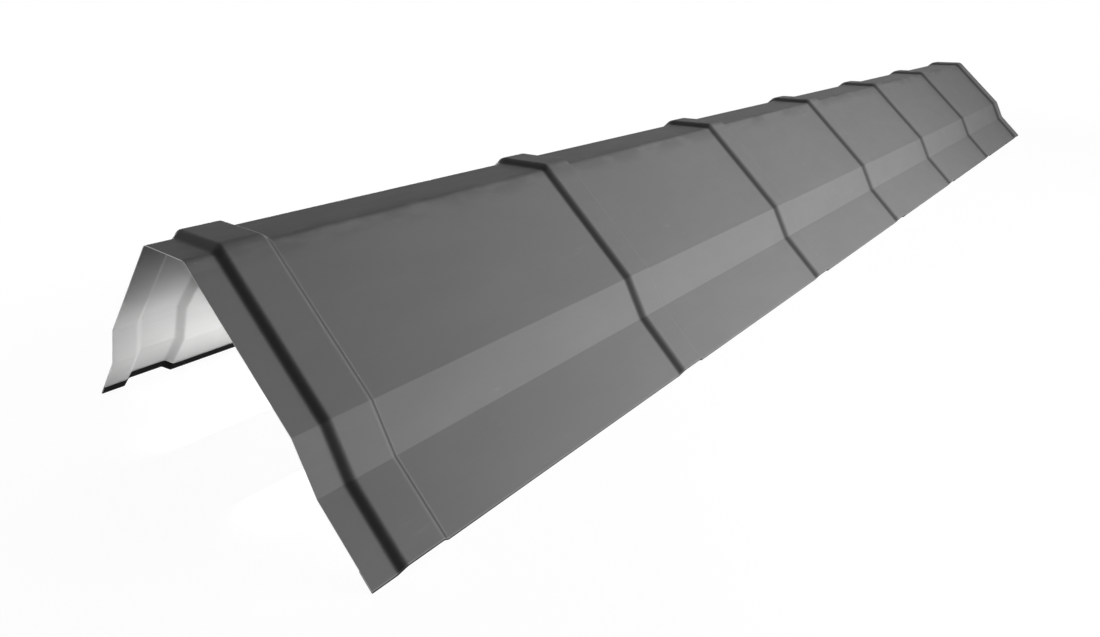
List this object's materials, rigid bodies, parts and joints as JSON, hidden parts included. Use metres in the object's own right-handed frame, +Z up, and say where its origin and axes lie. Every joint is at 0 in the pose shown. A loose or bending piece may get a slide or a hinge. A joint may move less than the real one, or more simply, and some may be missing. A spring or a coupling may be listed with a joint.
{
  "type": "roof ridge cap",
  "caption": "Long bent sheet-metal cap that covers a roof ridge, with raised ribs pressed across it, splayed edge flanges and hemmed edges.",
  "frame": {"origin": "middle of the length, under the ridge line, at the level of the two hemmed edges that the cap stands on", "axes": "+X along the ridge from the near end in the picture to the far one, +Y across to the picture's left side, +Z up"},
  "size_m": [1.9346, 0.3594, 0.1626],
  "materials": {
    "coated_sheet": "matt dark grey coating outside and on the hems, light grey back coat inside"
  },
  "bodies": {
    "root": {"ridge_cap": "coated_sheet"}
  },
  "joints": []
}
